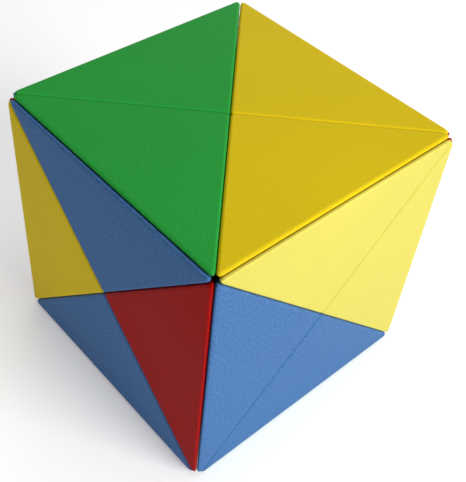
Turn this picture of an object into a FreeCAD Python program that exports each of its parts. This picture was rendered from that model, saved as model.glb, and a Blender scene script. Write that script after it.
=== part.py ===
"""Pyramid block puzzle: 24 equal magnetic blocks that pack into a cube.

The cube is cut along its six diagonal planes. Every cut passes through the centre of the cube,
so each face falls into four triangles and each block is a low pyramid: a right-angled isosceles
triangle on the outside, running in to an apex at the centre of the cube.

One block is modelled in its own frame, with its apex at the origin, its outer face towards +Z
and its cube edge towards +X, mirror-symmetric about the XZ plane. It has a hollow tub, a cap
that closes the tub with a locating lip, and four disc magnets in cups behind the tub's walls.
The 24 blocks are placed copies of it. All sizes are in millimetres.
"""

import FreeCAD, Part

import math
import os

import Sketcher

DOCUMENT_NAME = "pyramid_block_puzzle"

# name, value, what it sets
DRIVING_SIZES = [
    ("cube_edge", 60.0, "outside edge of the assembled cube"),
    ("seam_gap", 0.05, "air between the tubs of two neighbouring blocks"),
    ("cap_setback", 0.03, "how far the sides of a cap are set in from the tub's"),
    ("face_edge_radius", 0.6, "rounding around the outer face of a block"),
    ("side_edge_radius", 0.6, "rounding of the three edges that run in to the apex"),
    ("wall_thickness", 1.6, "tub wall"),
    ("cap_thickness", 2.0, "plate that carries the outer face"),
    ("lip_height", 1.4, "how far the cap's locating lip reaches into the tub"),
    ("lip_thickness", 1.2, "thickness of the lip"),
    ("lip_clearance", 0.1, "air between the lip and the tub wall"),
    ("core_tip_width", 3.0, "flat at the bottom of the hollow"),
    ("magnet_diameter", 6.0, "disc magnet"),
    ("magnet_thickness", 2.0, "disc magnet"),
    ("magnet_clearance", 0.05, "air around a magnet in its cup, on the radius"),
    ("magnet_cover", 0.8, "plastic between a magnet and the outside of the wall"),
    ("cup_wall", 0.9, "ring of plastic around a magnet"),
    ("cup_clearance", 1.0, "air between a magnet cup and the lip above it"),
    ("side_magnet_setback", 8.5, "magnet centre to the square edge, on a side wall"),
    ("edge_magnet_spacing", 16.0, "between the two magnets on the sloping wall"),
]

# Outward direction of each face of the cube. The cube stands on its underside.
DIRECTIONS = {
    "top": FreeCAD.Vector(0, 0, 1),
    "front": FreeCAD.Vector(0, -1, 0),
    "right": FreeCAD.Vector(1, 0, 0),
    "rear": FreeCAD.Vector(0, 1, 0),
    "left": FreeCAD.Vector(-1, 0, 0),
    "underside": FreeCAD.Vector(0, 0, -1),
    "bottom": FreeCAD.Vector(0, 0, -1),
}

# Each face of the cube, and the colour of the block against each of its four edges.
BLOCKS = {
    "top": {"front": "green", "right": "yellow", "rear": "yellow", "left": "green"},
    "front": {"top": "blue", "right": "red", "bottom": "blue", "left": "yellow"},
    "right": {"top": "yellow", "rear": "yellow", "bottom": "blue", "front": "blue"},
    "rear": {"top": "red", "right": "red", "bottom": "green", "left": "red"},
    "left": {"top": "blue", "front": "red", "bottom": "green", "rear": "green"},
    "underside": {"front": "red", "right": "green", "rear": "yellow", "left": "blue"},
}

SQRT_2 = math.sqrt(2)

# Expressions over the driving sizes, in the frame of one block.
HALF_CUBE = "(Sizes.cube_edge / 2)"
OUTSIDE = "(Sizes.seam_gap / 2)"
CAP_OUTSIDE = f"({OUTSIDE} + Sizes.cap_setback)"
HOLLOW = f"({OUTSIDE} + Sizes.wall_thickness)"
LIP_OUTSIDE = f"({HOLLOW} + Sizes.lip_clearance)"
LIP_INSIDE = f"({LIP_OUTSIDE} + Sizes.lip_thickness)"
SPLIT_HEIGHT = f"({HALF_CUBE} - Sizes.cap_thickness)"
LIP_BOTTOM = f"({SPLIT_HEIGHT} - Sizes.lip_height)"
POCKET_RADIUS = "(Sizes.magnet_diameter / 2 + Sizes.magnet_clearance)"
POCKET_FOOT = f"({OUTSIDE} + Sizes.magnet_cover)"
POCKET_MOUTH = f"({POCKET_FOOT} + Sizes.magnet_thickness)"
CUP_RADIUS = f"({POCKET_RADIUS} + Sizes.cup_wall)"
CUP_TOP = f"({LIP_BOTTOM} - Sizes.cup_clearance)"

# How far the tools that trim a block reach past it.
OVERCUT = 5

DIAGONAL = math.radians(45)


def add_sizes_sheet(doc):
    """The driving dimensions, one row each: name, value, meaning."""
    sheet = doc.addObject("Spreadsheet::Sheet", "Sizes")
    for row, (name, value, meaning) in enumerate(DRIVING_SIZES, start=1):
        sheet.set(f"A{row}", name)
        sheet.set(f"B{row}", str(value))
        sheet.setAlias(f"B{row}", name)
        sheet.set(f"C{row}", meaning)
    doc.recompute()
    return sheet


def add_sketch(body, name, plane_role, height="0"):
    """A sketch on one of the body's own origin planes, moved along the plane's normal."""
    sketch = body.newObject("Sketcher::SketchObject", name)
    plane = next(f for f in body.Origin.OriginFeatures if f.Role == plane_role)
    sketch.AttachmentSupport = (plane, [""])
    sketch.MapMode = "FlatFace"
    sketch.setExpression("AttachmentOffset.Base.z", height)
    return sketch


def bind(sketch, name, constraint, expression):
    """Add a named dimension to a sketch and drive it from the sheet."""
    index = sketch.addConstraint(constraint)
    sketch.renameConstraint(index, name)
    sketch.setExpression(f"Constraints.{name}", expression)


def add_outline(sketch, corners):
    """A closed outline of straight lines. Its corners are rough places: dimensions set them."""
    count = len(corners)
    for number, corner in enumerate(corners):
        following = corners[(number + 1) % count]
        sketch.addGeometry(Part.LineSegment(FreeCAD.Vector(*corner), FreeCAD.Vector(*following)))
    for number in range(count):
        sketch.addConstraint(Sketcher.Constraint("Coincident", number, 2, (number + 1) % count, 1))


def add_plan_triangle(body, name, height, inset, reach):
    """The block's triangle in plan, at one height.

    The square corner lies on the X axis, where walls set in by inset meet, and the long side
    crosses the X axis at reach.
    """
    sketch = add_sketch(body, name, "XY_Plane", height)
    add_outline(sketch, [(1, 0, 0), (20, 19, 0), (20, -19, 0)])
    sketch.addConstraint(Sketcher.Constraint("PointOnObject", 0, 1, -1))
    sketch.addConstraint(Sketcher.Constraint("Symmetric", 0, 2, 1, 2, -1))
    sketch.addConstraint(Sketcher.Constraint("Angle", 0, DIAGONAL))
    corner = Sketcher.Constraint("DistanceX", -1, 1, 0, 1, 1)
    bind(sketch, "corner", corner, f"sqrt(2) * {inset}")
    long_side = Sketcher.Constraint("DistanceX", -1, 1, 0, 2, 20)
    bind(sketch, "long_side", long_side, reach)
    return sketch


def add_wedge_profile(body, name, inset):
    """Everything under the sloping wall, seen along Y, to be cut away."""
    sketch = add_sketch(body, name, "XZ_Plane")
    add_outline(sketch, [(-5, -4, 0), (35, 36, 0), (35, -4, 0)])
    sketch.addConstraint(Sketcher.Constraint("Angle", 0, DIAGONAL))
    sketch.addConstraint(Sketcher.Constraint("Vertical", 1))
    sketch.addConstraint(Sketcher.Constraint("Horizontal", 2))
    start = Sketcher.Constraint("DistanceX", 0, 1, -1, 1, 5)
    bind(sketch, "start", start, f"{OVERCUT}")
    drop = Sketcher.Constraint("DistanceY", 0, 1, -1, 1, 4)
    bind(sketch, "drop", drop, f"{OVERCUT} - sqrt(2) * {inset}")
    reach = Sketcher.Constraint("DistanceX", -1, 1, 1, 1, 35)
    bind(sketch, "reach", reach, f"{HALF_CUBE} + {OVERCUT}")
    return sketch


def add_block_form(doc, name, inset):
    """The sharp-edged pyramid: a triangular prism under the outer face, sloped underneath."""
    body = doc.addObject("PartDesign::Body", f"{name}_form")
    prism = body.newObject("PartDesign::Pad", "prism")
    prism.Profile = add_plan_triangle(body, "plan", "0", inset, f"{HALF_CUBE} + {OVERCUT}")
    prism.setExpression("Length", HALF_CUBE)
    slope = body.newObject("PartDesign::Pocket", "slope")
    slope.Profile = add_wedge_profile(body, "under_slope", inset)
    slope.Type = "ThroughAll"
    slope.Midplane = True
    doc.recompute()
    return body


def add_rounded_block(doc, sheet, name, inset):
    """The whole outside of a block, rounded around the outer face and along the other edges."""
    form = add_block_form(doc, name, inset)
    rounded = doc.addObject("Part::Fillet", f"{name}_outside")
    rounded.Base = form
    outer_face = max(form.Shape.Faces, key=lambda face: face.CenterOfMass.z)
    edges = []
    for number, edge in enumerate(form.Shape.Edges, start=1):
        on_outer_face = any(edge.isSame(rim) for rim in outer_face.Edges)
        radius = sheet.face_edge_radius if on_outer_face else sheet.side_edge_radius
        edges.append((number, radius, radius))
    rounded.Edges = edges
    doc.recompute()
    return rounded


def add_split_cut(body, upwards):
    """Cut the block at the joint between tub and cap, and keep the part below or above it."""
    sketch = add_sketch(body, "joint_plane", "XY_Plane", SPLIT_HEIGHT)
    add_outline(sketch, [(-5, -35, 0), (35, -35, 0), (35, 35, 0), (-5, 35, 0)])
    for line in (0, 2):
        sketch.addConstraint(Sketcher.Constraint("Horizontal", line))
    sketch.addConstraint(Sketcher.Constraint("Vertical", 3))
    sketch.addConstraint(Sketcher.Constraint("Symmetric", 1, 1, 1, 2, -1))
    left = Sketcher.Constraint("DistanceX", 0, 1, -1, 1, 5)
    bind(sketch, "left", left, f"{OVERCUT}")
    right = Sketcher.Constraint("DistanceX", -1, 1, 0, 2, 35)
    bind(sketch, "right", right, f"{HALF_CUBE} + {OVERCUT}")
    width = Sketcher.Constraint("DistanceY", 1, 1, 1, 2, 70)
    bind(sketch, "width", width, f"2 * ({HALF_CUBE} + {OVERCUT})")
    cut = body.newObject("PartDesign::Pocket", "joint_cut")
    cut.Profile = sketch
    cut.Type = "ThroughAll"
    cut.Reversed = upwards


def add_tapered(body, kind, name, inset, top, bottom):
    """A loft whose walls lie at the given inset from the block's three inner planes."""
    loft = body.newObject(f"PartDesign::{kind}Loft", name)
    upper = add_plan_triangle(body, f"{name}_top", top, inset, f"{top} - sqrt(2) * {inset}")
    lower = add_plan_triangle(body, f"{name}_foot", bottom, inset, f"{bottom} - sqrt(2) * {inset}")
    loft.Profile = upper
    loft.Sections = [lower]
    loft.Ruled = True


def magnet_places():
    """Centre of each magnet on its wall as expressions, and the wall's inward normal.

    A centre lies on the true diagonal plane, before the wall is set back by half a seam. All
    four cups end level with each other, just under the lip.
    """
    side = f"(Sizes.side_magnet_setback / {SQRT_2})"
    side_height = f"({CUP_TOP} - {CUP_RADIUS})"
    down_slope = f"({CUP_TOP} - ({CUP_RADIUS} + {POCKET_MOUTH}) / {SQRT_2})"
    half_spacing = "(Sizes.edge_magnet_spacing / 2)"
    slope_normal = FreeCAD.Vector(-1, 0, 1)
    return {
        "north_side": ((side, side, side_height), FreeCAD.Vector(1, -1, 0)),
        "south_side": ((side, f"-{side}", side_height), FreeCAD.Vector(1, 1, 0)),
        "north_edge": ((down_slope, half_spacing, down_slope), slope_normal),
        "south_edge": ((down_slope, f"-{half_spacing}", down_slope), slope_normal),
    }


def stand_on_wall(cylinder, centre, normal, depth):
    """Turn a cylinder to point into the block and start it at a depth under the diagonal plane."""
    inward = FreeCAD.Vector(normal).normalize()
    turn = FreeCAD.Rotation(FreeCAD.Vector(0, 0, 1), inward)
    cylinder.Placement = FreeCAD.Placement(FreeCAD.Vector(), turn)
    for axis, place, share in zip("xyz", centre, inward):
        cylinder.setExpression(f"Placement.Base.{axis}", f"{place} + {share} * {depth}")


def add_magnet_cups(doc, body):
    """A ring of plastic behind the wall at each magnet, and the pocket that the magnet sits in."""
    cup_foot = f"({OUTSIDE} + Sizes.magnet_cover / 2)"
    cup_height = "(Sizes.magnet_cover / 2 + Sizes.magnet_thickness)"
    for name, (centre, normal) in magnet_places().items():
        cup = body.newObject("PartDesign::AdditiveCylinder", f"{name}_cup")
        cup.setExpression("Radius", CUP_RADIUS)
        cup.setExpression("Height", cup_height)
        stand_on_wall(cup, centre, normal, cup_foot)
        doc.recompute()
    for name, (centre, normal) in magnet_places().items():
        pocket = body.newObject("PartDesign::SubtractiveCylinder", f"{name}_pocket")
        pocket.setExpression("Radius", POCKET_RADIUS)
        pocket.setExpression("Height", "Sizes.magnet_thickness")
        stand_on_wall(pocket, centre, normal, POCKET_FOOT)
        doc.recompute()


def add_tub(doc, sheet):
    """The three inner walls of a block, open under the cap, with the magnet cups inside."""
    body = doc.addObject("PartDesign::Body", "tub")
    body.BaseFeature = add_rounded_block(doc, sheet, "tub", OUTSIDE)
    doc.recompute()
    add_split_cut(body, upwards=True)
    doc.recompute()
    core_tip = f"(2 * sqrt(2) * {HOLLOW} + Sizes.core_tip_width)"
    add_tapered(body, "Subtractive", "hollow", HOLLOW, SPLIT_HEIGHT, core_tip)
    doc.recompute()
    add_magnet_cups(doc, body)
    return body


def add_cap(doc, sheet):
    """The outer face of a block, with the lip that centres it in the tub."""
    body = doc.addObject("PartDesign::Body", "cap")
    body.BaseFeature = add_rounded_block(doc, sheet, "cap", CAP_OUTSIDE)
    doc.recompute()
    add_split_cut(body, upwards=False)
    doc.recompute()
    add_tapered(body, "Additive", "lip", LIP_OUTSIDE, SPLIT_HEIGHT, LIP_BOTTOM)
    doc.recompute()
    add_tapered(body, "Subtractive", "lip_opening", LIP_INSIDE, SPLIT_HEIGHT, LIP_BOTTOM)
    doc.recompute()
    return body


def add_magnets(doc):
    """The four disc magnets of one block, seated in their cups."""
    magnets = []
    for name, (centre, normal) in magnet_places().items():
        magnet = doc.addObject("Part::Cylinder", f"{name}_magnet")
        magnet.setExpression("Radius", "Sizes.magnet_diameter / 2")
        magnet.setExpression("Height", "Sizes.magnet_thickness")
        stand_on_wall(magnet, centre, normal, POCKET_FOOT)
        magnets.append(magnet)
    return magnets


def place_block(doc, face, side, colour, shell_parts, magnets):
    """One block in the cube: its shell and its magnets, turned to face and side."""
    up = DIRECTIONS[face]
    turn = FreeCAD.Rotation(DIRECTIONS[side], FreeCAD.Vector(), up, "ZXY")
    block = []
    for suffix, parts in (("shell", shell_parts), ("magnets", magnets)):
        piece = doc.addObject("Part::Compound", f"{face}_{side}_{colour}_{suffix}")
        piece.Label = f"{face}_{side}_{colour}_{suffix}"
        piece.Links = parts
        piece.Placement = FreeCAD.Placement(FreeCAD.Vector(), turn)
        piece.setExpression("Placement.Base.z", HALF_CUBE)
        block.append(piece)
    return block


def check_document(doc, pieces):
    """Stop if any feature failed or any piece is not a valid set of solids."""
    for item in doc.Objects:
        if "Invalid" in item.State or "Error" in item.State:
            raise RuntimeError(f"{item.Label} failed: {item.State}")
    for piece in pieces:
        shape = piece.Shape
        if shape.isNull() or not shape.isValid() or not shape.Solids:
            raise RuntimeError(f"{piece.Label} has no valid solid")


def build():
    doc = FreeCAD.newDocument(DOCUMENT_NAME)
    sheet = add_sizes_sheet(doc)
    shell_parts = [add_tub(doc, sheet), add_cap(doc, sheet)]
    magnets = add_magnets(doc)
    pieces = []
    for face, sides in BLOCKS.items():
        for side, colour in sides.items():
            pieces += place_block(doc, face, side, colour, shell_parts, magnets)
    doc.recompute()
    check_document(doc, pieces)
    os.makedirs("parts", exist_ok=True)
    for piece in pieces:
        piece.Shape.exportStep(f"parts/{piece.Label}.step")
    print(f"{len(pieces)} pieces written")


build()
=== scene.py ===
"""Looks of the pyramid block puzzle: 24 equal plastic blocks, four colours, one cube.

One block is sawn, rounded, split into tub and cap, and hollowed. The other blocks are copies
of it, turned into their places in the cube. Lengths are in metres.
"""

import math

import bpy
from mathutils import Matrix, Vector


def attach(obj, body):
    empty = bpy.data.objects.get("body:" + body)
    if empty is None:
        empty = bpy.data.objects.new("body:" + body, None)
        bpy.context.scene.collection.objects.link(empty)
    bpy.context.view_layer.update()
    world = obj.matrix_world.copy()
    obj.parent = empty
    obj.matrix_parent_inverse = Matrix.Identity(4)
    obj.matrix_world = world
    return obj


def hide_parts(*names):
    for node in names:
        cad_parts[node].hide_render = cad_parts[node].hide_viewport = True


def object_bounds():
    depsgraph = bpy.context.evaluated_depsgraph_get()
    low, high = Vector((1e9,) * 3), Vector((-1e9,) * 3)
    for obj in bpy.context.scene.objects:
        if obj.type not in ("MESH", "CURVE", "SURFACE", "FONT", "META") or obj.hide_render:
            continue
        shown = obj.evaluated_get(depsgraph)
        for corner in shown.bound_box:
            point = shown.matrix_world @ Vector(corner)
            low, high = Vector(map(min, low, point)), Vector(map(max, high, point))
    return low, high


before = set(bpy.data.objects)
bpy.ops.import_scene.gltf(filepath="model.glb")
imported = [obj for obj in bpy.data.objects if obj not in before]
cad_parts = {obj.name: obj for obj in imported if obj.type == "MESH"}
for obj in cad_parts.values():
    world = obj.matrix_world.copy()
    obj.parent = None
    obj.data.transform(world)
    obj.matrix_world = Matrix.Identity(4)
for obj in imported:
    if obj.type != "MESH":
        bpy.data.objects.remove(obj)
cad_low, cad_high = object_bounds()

MM = 0.001

# The cube, from the frame: it stands on the floor with its middle over the origin.
CUBE_EDGE = cad_high.z - cad_low.z
HALF_CUBE = CUBE_EDGE / 2

# One block. Its joint and the tip of its hollow are given as heights over its apex, which is
# the middle of the cube.
HALF_SEAM = 0.025 * MM
CAP_SETBACK = 0.03 * MM
FACE_ROUNDING = 0.6 * MM
SIDE_ROUNDING = 0.6 * MM
ROUNDING_STEPS = 6
CAP_THICKNESS = 2.0 * MM
JOINT_HEIGHT = HALF_CUBE - CAP_THICKNESS
JOINT_CHAMFER = 0.1 * MM
JOINT_CHAMFER_STEPS = 2
LIP_HEIGHT = 1.4 * MM
LIP_THICKNESS = 1.2 * MM
LIP_CLEARANCE = 0.1 * MM
WALL = 1.6 * MM
CORE_TIP_HEIGHT = 7.8 * MM

# Magnets, and the cups that they sit in.
MAGNET_COVER = 0.8 * MM
MAGNET_THICKNESS = 2.0 * MM
POCKET_RADIUS = 3.05 * MM
CUP_RADIUS = 3.95 * MM
CUP_CLEARANCE = 1.0 * MM
CYLINDER_SIDES = 40
SIDE_MAGNET_SETBACK = 8.5 * MM
EDGE_MAGNET_SPACING = 16.0 * MM

# How near two heights or points have to be to count as one.
HAIR = 0.001 * MM

# Shading, handling marks, and the brighter rounded edges: rubbed wear and partly a painted
# highlight.
SMOOTHING_ANGLE = math.radians(35)
WEAR_AND_HIGHLIGHT_DEPTH = 0.12 * MM
# How much brighter the rounded edges are: for wear, and for a painted highlight.
RUBBED_AND_HIGHLIGHT_BRIGHTNESS = 1.2

# Patterns in the finishes, as waves to a metre: clouds of about 22 mm, moulding grain of half
# a millimetre, a finer grain on it, and marks of about 1 mm on the magnets. Then how deep the
# two grains are.
CLOUDING_SCALE = 45
GRAIN_SCALE = 2000
FINE_GRAIN_SCALE = 7000
HANDLING_SCALE = 900
GRAIN_RELIEF = 0.02 * MM
FINE_GRAIN_RELIEF = 0.008 * MM
# Nearly all of a noise texture lies between these two values.
NOISE_LOW, NOISE_HIGH = 0.3, 0.7

# The studio's surroundings look brighter than the light that they give.
SURROUNDING_LIGHT = 0.215
SURROUNDING_SEEN = 0.5

# Outward direction of each face of the cube, and of the edge that a block lies against.
DIRECTIONS = {
    "top": Vector((0, 0, 1)),
    "front": Vector((0, -1, 0)),
    "right": Vector((1, 0, 0)),
    "rear": Vector((0, 1, 0)),
    "left": Vector((-1, 0, 0)),
    "underside": Vector((0, 0, -1)),
    "bottom": Vector((0, 0, -1)),
}

# The planes that bound one block, in its own frame: apex at the origin, outer face upwards,
# cube edge towards +X. Each points out of the block.
SAW_CUTS = [Vector((-1, 1, 0)), Vector((-1, -1, 0)), Vector((1, 0, -1))]


# ---------------------------------------------------------------- bench tools

def deselect_all():
    bpy.ops.object.select_all(action="DESELECT")


def pick(piece):
    """Make one piece the only selected and the active one."""
    deselect_all()
    piece.select_set(True)
    bpy.context.view_layer.objects.active = piece


def edit_all(piece):
    """Open a piece in edit mode with everything selected."""
    pick(piece)
    bpy.ops.object.mode_set(mode="EDIT")
    bpy.ops.mesh.select_all(action="SELECT")


def close_edit():
    bpy.ops.object.mode_set(mode="OBJECT")


def saw(piece, through, outward):
    """Cut a piece along a plane, drop what lies outside and close the cut."""
    edit_all(piece)
    bpy.ops.mesh.bisect(
        plane_co=through, plane_no=outward, use_fill=True, clear_outer=True, threshold=HAIR / 10
    )
    close_edit()


def saw_off_above(piece, height):
    saw(piece, (0, 0, height), (0, 0, 1))


def saw_off_below(piece, height):
    saw(piece, (0, 0, height), (0, 0, -1))


def apply_modifiers(piece):
    pick(piece)
    for modifier in list(piece.modifiers):
        bpy.ops.object.modifier_apply(modifier=modifier.name)


def combine(piece, tool, operation):
    """Join a tool body to a piece, or cut it out, and throw the tool away."""
    boolean = piece.modifiers.new("combine", "BOOLEAN")
    boolean.operation = operation
    boolean.solver = "EXACT"
    boolean.object = tool
    apply_modifiers(piece)
    bpy.data.objects.remove(tool)


def copy_of(piece, name):
    """A copy with a mesh of its own."""
    copy = piece.copy()
    copy.data = piece.data.copy()
    copy.name = name
    copy.data.name = name
    bpy.context.scene.collection.objects.link(copy)
    return copy


# ---------------------------------------------------------------- one block

def saw_block(name, inset):
    """The sharp pyramid: a cube sawn along three diagonal planes, its walls set in by inset."""
    deselect_all()
    bpy.ops.mesh.primitive_cube_add(size=CUBE_EDGE, location=(0, 0, 0))
    block = bpy.context.object
    block.name = name
    for outward in SAW_CUTS:
        normal = outward.normalized()
        saw(block, -normal * inset, normal)
    return block


def rounding_reach(radius, degrees):
    """How far along its faces a rounding begins, on an edge where they meet at this angle."""
    return radius / math.tan(math.radians(degrees / 2))


def edge_rounding(mesh, edge):
    """The reach of one edge's rounding: three edges lie on the outer face, three run inwards."""
    start, end = (mesh.vertices[v].co for v in edge.vertices)
    on_face = min(start.z, end.z) > HALF_CUBE - HAIR
    if on_face and min(start.x, end.x) > HALF_CUBE / 2:
        return rounding_reach(FACE_ROUNDING, 45)
    if on_face:
        return rounding_reach(FACE_ROUNDING, 90)
    if max(abs(start.y), abs(end.y)) > HALF_CUBE / 2:
        return rounding_reach(SIDE_ROUNDING, 60)
    return rounding_reach(SIDE_ROUNDING, 90)


def round_edges(block):
    """Round all six edges of the pyramid, each by its own radius."""
    mesh = block.data
    roundings = [edge_rounding(mesh, edge) for edge in mesh.edges]
    widest = max(roundings)
    weights = mesh.attributes.new("bevel_weight_edge", "FLOAT", "EDGE")
    for number, rounding in enumerate(roundings):
        weights.data[number].value = rounding / widest
    bevel = block.modifiers.new("rounding", "BEVEL")
    bevel.limit_method = "WEIGHT"
    bevel.offset_type = "OFFSET"
    bevel.width = widest
    bevel.segments = ROUNDING_STEPS
    bevel.use_clamp_overlap = False
    apply_modifiers(block)


def rounded_block(name, inset):
    """The whole outside of a block."""
    block = saw_block(name, inset)
    round_edges(block)
    return block


def chamfer_joint(piece):
    """Break a piece's edge at the joint between tub and cap, so that the joint shows."""
    edit_all(piece)
    bpy.ops.mesh.select_all(action="DESELECT")
    bpy.ops.mesh.select_mode(type="EDGE")
    close_edit()
    for edge in piece.data.edges:
        ends = [piece.data.vertices[v].co.z for v in edge.vertices]
        edge.select = all(abs(z - JOINT_HEIGHT) < HAIR for z in ends)
    bpy.ops.object.mode_set(mode="EDIT")
    bpy.ops.mesh.bevel(
        offset=JOINT_CHAMFER, segments=JOINT_CHAMFER_STEPS, affect="EDGES", clamp_overlap=True
    )
    close_edit()


def magnet_seats():
    """Middle of each magnet on its diagonal plane, and the wall's inward direction."""
    cup_top = JOINT_HEIGHT - LIP_HEIGHT - CUP_CLEARANCE
    cup_depth = HALF_SEAM + MAGNET_COVER + MAGNET_THICKNESS
    side = SIDE_MAGNET_SETBACK / math.sqrt(2)
    side_height = cup_top - CUP_RADIUS
    slope = cup_top - (CUP_RADIUS + cup_depth) / math.sqrt(2)
    inward_slope = Vector((-1, 0, 1)).normalized()
    return [
        (Vector((side, side, side_height)), Vector((1, -1, 0)).normalized()),
        (Vector((side, -side, side_height)), Vector((1, 1, 0)).normalized()),
        (Vector((slope, EDGE_MAGNET_SPACING / 2, slope)), inward_slope),
        (Vector((slope, -EDGE_MAGNET_SPACING / 2, slope)), inward_slope),
    ]


def stand_cylinder(name, radius, foot, inward, height):
    """A cylinder that stands on a wall of the block and points into it."""
    deselect_all()
    turn = inward.to_track_quat("Z", "Y").to_euler()
    bpy.ops.mesh.primitive_cylinder_add(
        vertices=CYLINDER_SIDES,
        radius=radius,
        depth=height,
        location=foot + inward * height / 2,
        rotation=turn,
    )
    cylinder = bpy.context.object
    cylinder.name = name
    return cylinder


def make_tub():
    """The three inner walls, hollow inside, with a cup behind the wall for each magnet."""
    tub = rounded_block("tub", HALF_SEAM)
    saw_off_above(tub, JOINT_HEIGHT)
    chamfer_joint(tub)
    hollow = saw_block("hollow", HALF_SEAM + WALL)
    saw_off_above(hollow, JOINT_HEIGHT + WALL)
    saw_off_below(hollow, CORE_TIP_HEIGHT)
    combine(tub, hollow, "DIFFERENCE")
    for middle, inward in magnet_seats():
        foot = middle + inward * (HALF_SEAM + MAGNET_COVER / 2)
        cup = stand_cylinder("cup", CUP_RADIUS, foot, inward, MAGNET_COVER / 2 + MAGNET_THICKNESS)
        combine(tub, cup, "UNION")
    for middle, inward in magnet_seats():
        foot = middle + inward * (HALF_SEAM + MAGNET_COVER)
        bore = stand_cylinder("bore", POCKET_RADIUS, foot, inward, MAGNET_THICKNESS * 2)
        combine(tub, bore, "DIFFERENCE")
    return tub


def make_cap():
    """The plate that carries the outer face, with the lip that centres it in the tub."""
    cap = rounded_block("cap", HALF_SEAM + CAP_SETBACK)
    saw_off_below(cap, JOINT_HEIGHT)
    chamfer_joint(cap)
    lip_outside = HALF_SEAM + WALL + LIP_CLEARANCE
    lip = saw_block("lip", lip_outside)
    saw_off_above(lip, JOINT_HEIGHT + CAP_THICKNESS / 2)
    saw_off_below(lip, JOINT_HEIGHT - LIP_HEIGHT)
    opening = saw_block("opening", lip_outside + LIP_THICKNESS)
    saw_off_above(opening, JOINT_HEIGHT)
    saw_off_below(opening, JOINT_HEIGHT - 2 * LIP_HEIGHT)
    combine(lip, opening, "DIFFERENCE")
    combine(cap, lip, "UNION")
    return cap


def mark_worn_and_highlit_edges(piece, inset):
    """Store how far each point lies off the block's flat walls, for the brighter rounded edges:
    rubbed wear and a painted highlight.
    """
    planes = [(normal.normalized(), -inset) for normal in SAW_CUTS]
    planes.append((Vector((0, 0, 1)), HALF_CUBE))
    wear_and_highlight = piece.data.attributes.new("edge_wear", "FLOAT", "POINT")
    for number, vertex in enumerate(piece.data.vertices):
        depth = min(abs(vertex.co.dot(normal) - height) for normal, height in planes)
        wear_and_highlight.data[number].value = min(1.0, depth / WEAR_AND_HIGHLIGHT_DEPTH)


def smooth(piece):
    """Smooth the roundings and keep the large faces flat."""
    pick(piece)
    bpy.ops.object.shade_smooth_by_angle(angle=SMOOTHING_ANGLE)
    weighted = piece.modifiers.new("flat_faces", "WEIGHTED_NORMAL")
    weighted.keep_sharp = True
    weighted.weight = 100
    apply_modifiers(piece)


def make_block():
    """Tub and cap of one block, in the block's own frame."""
    tub = make_tub()
    cap = make_cap()
    for piece, inset in ((tub, HALF_SEAM), (cap, HALF_SEAM + CAP_SETBACK)):
        mark_worn_and_highlit_edges(piece, inset)
        smooth(piece)
    return tub, cap


def place_in_cube(piece, face, side):
    """Turn a copy of a block's part to its place in the cube, the place kept in its mesh."""
    outward, edgeward = DIRECTIONS[face], DIRECTIONS[side]
    turn = Matrix((edgeward, outward.cross(edgeward), outward)).transposed()
    piece.matrix_world = Matrix.Translation((0, 0, HALF_CUBE)) @ turn.to_4x4()
    pick(piece)
    bpy.ops.object.transform_apply(location=True, rotation=True, scale=True)


# ---------------------------------------------------------------- finishes

def new_material(name):
    material = bpy.data.materials.new(name)
    material.use_nodes = True
    nodes = material.node_tree.nodes
    return material, nodes, material.node_tree.links, nodes["Principled BSDF"]


def feed(links, socket, value):
    """Link a socket to another one, or set it to a plain value."""
    if isinstance(value, bpy.types.NodeSocket):
        links.new(value, socket)
    else:
        socket.default_value = value


def add_noise(nodes, links, coordinates, scale, detail, roughness=0.5):
    """A noise pattern that stays with the piece."""
    noise = nodes.new("ShaderNodeTexNoise")
    noise.inputs["Scale"].default_value = scale
    noise.inputs["Detail"].default_value = detail
    noise.inputs["Roughness"].default_value = roughness
    links.new(coordinates.outputs["Object"], noise.inputs["Vector"])
    return noise.outputs["Fac"]


def add_range(nodes, links, source, low, high):
    """Spread a texture's middle values over a range."""
    spread = nodes.new("ShaderNodeMapRange")
    spread.inputs["From Min"].default_value = NOISE_LOW
    spread.inputs["From Max"].default_value = NOISE_HIGH
    spread.inputs["To Min"].default_value = low
    spread.inputs["To Max"].default_value = high
    links.new(source, spread.inputs["Value"])
    return spread.outputs["Result"]


def add_scale(nodes, links, colour, factor):
    """A colour made lighter or darker by a factor."""
    scaled = nodes.new("ShaderNodeVectorMath")
    scaled.operation = "SCALE"
    feed(links, scaled.inputs[0], colour)
    feed(links, scaled.inputs["Scale"], factor)
    return scaled.outputs["Vector"]


def add_product(nodes, links, first, second):
    """Two sockets multiplied."""
    product = nodes.new("ShaderNodeMath")
    product.operation = "MULTIPLY"
    links.new(first, product.inputs[0])
    links.new(second, product.inputs[1])
    return product.outputs["Value"]


def add_bump(nodes, links, pattern, strength, depth):
    """Relief of a given depth from a pattern."""
    bump = nodes.new("ShaderNodeBump")
    bump.inputs["Strength"].default_value = strength
    bump.inputs["Distance"].default_value = depth
    links.new(pattern, bump.inputs["Height"])
    return bump


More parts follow.
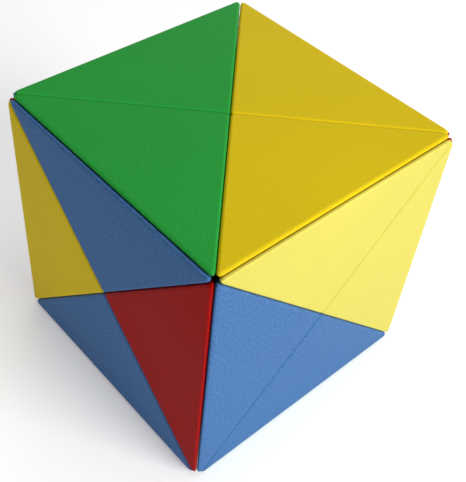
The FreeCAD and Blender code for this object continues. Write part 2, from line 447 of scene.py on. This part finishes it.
def moulded_plastic(name, colour, speckle):
    """Matt moulded plastic: spark-eroded grain, faint clouding, and brighter rounded edges that
    are partly rubbed wear and partly a painted highlight.
    """
    material, nodes, links, shader = new_material(name)
    coordinates = nodes.new("ShaderNodeTexCoord")
    clouding = add_noise(nodes, links, coordinates, CLOUDING_SCALE, detail=3)
    grain = add_noise(nodes, links, coordinates, GRAIN_SCALE, detail=3, roughness=0.6)
    fine_grain = add_noise(nodes, links, coordinates, FINE_GRAIN_SCALE, detail=2)

    shade = add_range(nodes, links, clouding, 0.975, 1.025)
    speckles = add_range(nodes, links, grain, 1 - speckle, 1 + speckle)
    tone = add_product(nodes, links, shade, speckles)
    body_colour = add_scale(nodes, links, colour, tone)

    # The rounded edges are made brighter: rubbed wear, and partly a painted highlight along every
    # rounding.
    wear_and_highlight = nodes.new("ShaderNodeAttribute")
    wear_and_highlight.attribute_name = "edge_wear"
    patches = add_range(nodes, links, clouding, 0.35, 0.75)
    rubbed_and_lit = add_product(nodes, links, wear_and_highlight.outputs["Fac"], patches)
    edge_colour = nodes.new("ShaderNodeMix")
    edge_colour.data_type = "RGBA"
    links.new(rubbed_and_lit, edge_colour.inputs["Factor"])
    links.new(body_colour, edge_colour.inputs["A"])
    brighter = add_scale(nodes, links, body_colour, RUBBED_AND_HIGHLIGHT_BRIGHTNESS)
    links.new(brighter, edge_colour.inputs["B"])
    links.new(edge_colour.outputs["Result"], shader.inputs["Base Color"])

    dull = add_range(nodes, links, clouding, 0.46, 0.54)
    polish = add_range(nodes, links, wear_and_highlight.outputs["Fac"], 1.0, 0.82)
    links.new(add_product(nodes, links, dull, polish), shader.inputs["Roughness"])
    shader.inputs["Specular IOR Level"].default_value = 0.06
    shader.inputs["IOR"].default_value = 1.35

    coarse = add_bump(nodes, links, grain, strength=0.3, depth=GRAIN_RELIEF)
    fine = add_bump(nodes, links, fine_grain, strength=0.25, depth=FINE_GRAIN_RELIEF)
    links.new(coarse.outputs["Normal"], fine.inputs["Normal"])
    links.new(fine.outputs["Normal"], shader.inputs["Normal"])
    return material


def nickel_plate(name):
    """Bright nickel plating with fine handling marks."""
    material, nodes, links, shader = new_material(name)
    coordinates = nodes.new("ShaderNodeTexCoord")
    marks = add_noise(nodes, links, coordinates, HANDLING_SCALE, detail=4)
    shader.inputs["Base Color"].default_value = (0.72, 0.71, 0.68, 1)
    shader.inputs["Metallic"].default_value = 1
    dull = add_range(nodes, links, marks, 0.12, 0.3)
    links.new(dull, shader.inputs["Roughness"])
    return material


PLASTICS = {
    "green": moulded_plastic("green_plastic", (0.024, 0.33, 0.046), speckle=0.1),
    "yellow": moulded_plastic("yellow_plastic", (0.72, 0.535, 0.009), speckle=0.05),
    "blue": moulded_plastic("blue_plastic", (0.058, 0.155, 0.355), speckle=0.25),
    "red": moulded_plastic("red_plastic", (0.34, 0.004, 0.003), speckle=0.18),
}
# The two yellow blocks on the brightly lit right face get a paler, washed-out yellow: a painted
# highlight.
PAINTED_HIGHLIGHT_YELLOW = moulded_plastic("pale_yellow_plastic", (0.63, 0.565, 0.105), speckle=0.04)
PAINTED_HIGHLIGHT_BLOCKS = {"right_top", "right_rear"}
NICKEL = nickel_plate("nickel_plating")


def give_material(piece, material):
    piece.data.materials.clear()
    piece.data.materials.append(material)


# ---------------------------------------------------------------- the cube

def fill_cube():
    """Put a tub and a cap in place for each block of the frame, and plate its magnets."""
    tub, cap = make_block()
    for node_name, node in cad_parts.items():
        face, side, colour, part = node_name.split("_")
        if part == "magnets":
            give_material(node, NICKEL)
            continue
        for pattern in (tub, cap):
            piece = copy_of(pattern, f"{face}_{side}_{colour}_{pattern.name}")
            place_in_cube(piece, face, side)
            # The yellow blocks on the lit right face take the paler yellow, a painted highlight.
            block_material = PAINTED_HIGHLIGHT_YELLOW if f"{face}_{side}" in PAINTED_HIGHLIGHT_BLOCKS else PLASTICS[colour]
            give_material(piece, block_material)
            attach(piece, f"{face}_{side}")
            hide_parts(node_name)
    bpy.data.objects.remove(tub)
    bpy.data.objects.remove(cap)


# ---------------------------------------------------------------- studio

def lay_floor():
    deselect_all()
    bpy.ops.mesh.primitive_plane_add(size=4, location=(0, 0, 0))
    floor = bpy.context.object
    floor.name = "floor"
    material, nodes, links, shader = new_material("pale_floor")
    shader.inputs["Base Color"].default_value = (0.93, 0.93, 0.93, 1)
    shader.inputs["Roughness"].default_value = 0.9
    shader.inputs["Specular IOR Level"].default_value = 0.1
    shader.inputs["Emission Color"].default_value = (1, 1, 1, 1)
    shader.inputs["Emission Strength"].default_value = 0.3
    give_material(floor, material)


def hang_light(name, place, width, power):
    """A square soft light that faces the cube."""
    light = bpy.data.lights.new(name, "AREA")
    light.size = width
    light.energy = power
    lamp = bpy.data.objects.new(name, light)
    lamp.location = place
    towards_cube = Vector((0, 0, HALF_CUBE)) - Vector(place)
    lamp.rotation_euler = towards_cube.to_track_quat("-Z", "Y").to_euler()
    bpy.context.scene.collection.objects.link(lamp)


def light_studio():
    hang_light("key_light", place=(0.49, 0.1, 0.28), width=0.3, power=2.65)
    hang_light("overhead_light", place=(0.05, 0.1, 0.65), width=0.4, power=1.05)
    hang_light("fill_light", place=(-0.45, 0.5, 0.2), width=0.5, power=1.2)
    world = bpy.data.worlds.new("studio")
    world.use_nodes = True
    links = world.node_tree.links
    background = world.node_tree.nodes["Background"]
    background.inputs["Color"].default_value = (1, 1, 1, 1)
    seen = world.node_tree.nodes.new("ShaderNodeLightPath")
    strength = world.node_tree.nodes.new("ShaderNodeMapRange")
    strength.inputs["To Min"].default_value = SURROUNDING_LIGHT
    strength.inputs["To Max"].default_value = SURROUNDING_SEEN
    links.new(seen.outputs["Is Camera Ray"], strength.inputs["Value"])
    links.new(strength.outputs["Result"], background.inputs["Strength"])
    bpy.context.scene.world = world
    bpy.context.scene.view_settings.view_transform = "Standard"


def set_camera():
    """Above the corner between front and right, close enough for strong perspective."""
    azimuth, elevation, roll = math.radians(46.52), math.radians(45.66), math.radians(4.3)
    distance = 175.4 * MM
    aim_right, aim_up = -3.8 * MM, -3.2 * MM
    back = Vector((
        math.sin(azimuth) * math.cos(elevation),
        -math.cos(azimuth) * math.cos(elevation),
        math.sin(elevation),
    ))
    right = Vector((math.cos(azimuth), math.sin(azimuth), 0))
    up = back.cross(right)
    aim = Vector((0, 0, HALF_CUBE)) + right * aim_right + up * aim_up
    camera = bpy.data.cameras.new("camera")
    camera.lens = 62.1
    camera.shift_x = 0.068
    camera.clip_start = 0.01
    eye = bpy.data.objects.new("camera", camera)
    level = Matrix((right, up, back)).transposed()
    eye.matrix_world = (
        Matrix.Translation(aim + back * distance) @ level.to_4x4() @ Matrix.Rotation(roll, 4, "Z")
    )
    bpy.context.scene.collection.objects.link(eye)
    bpy.context.scene.camera = eye


set_camera()
fill_cube()
lay_floor()
light_studio()
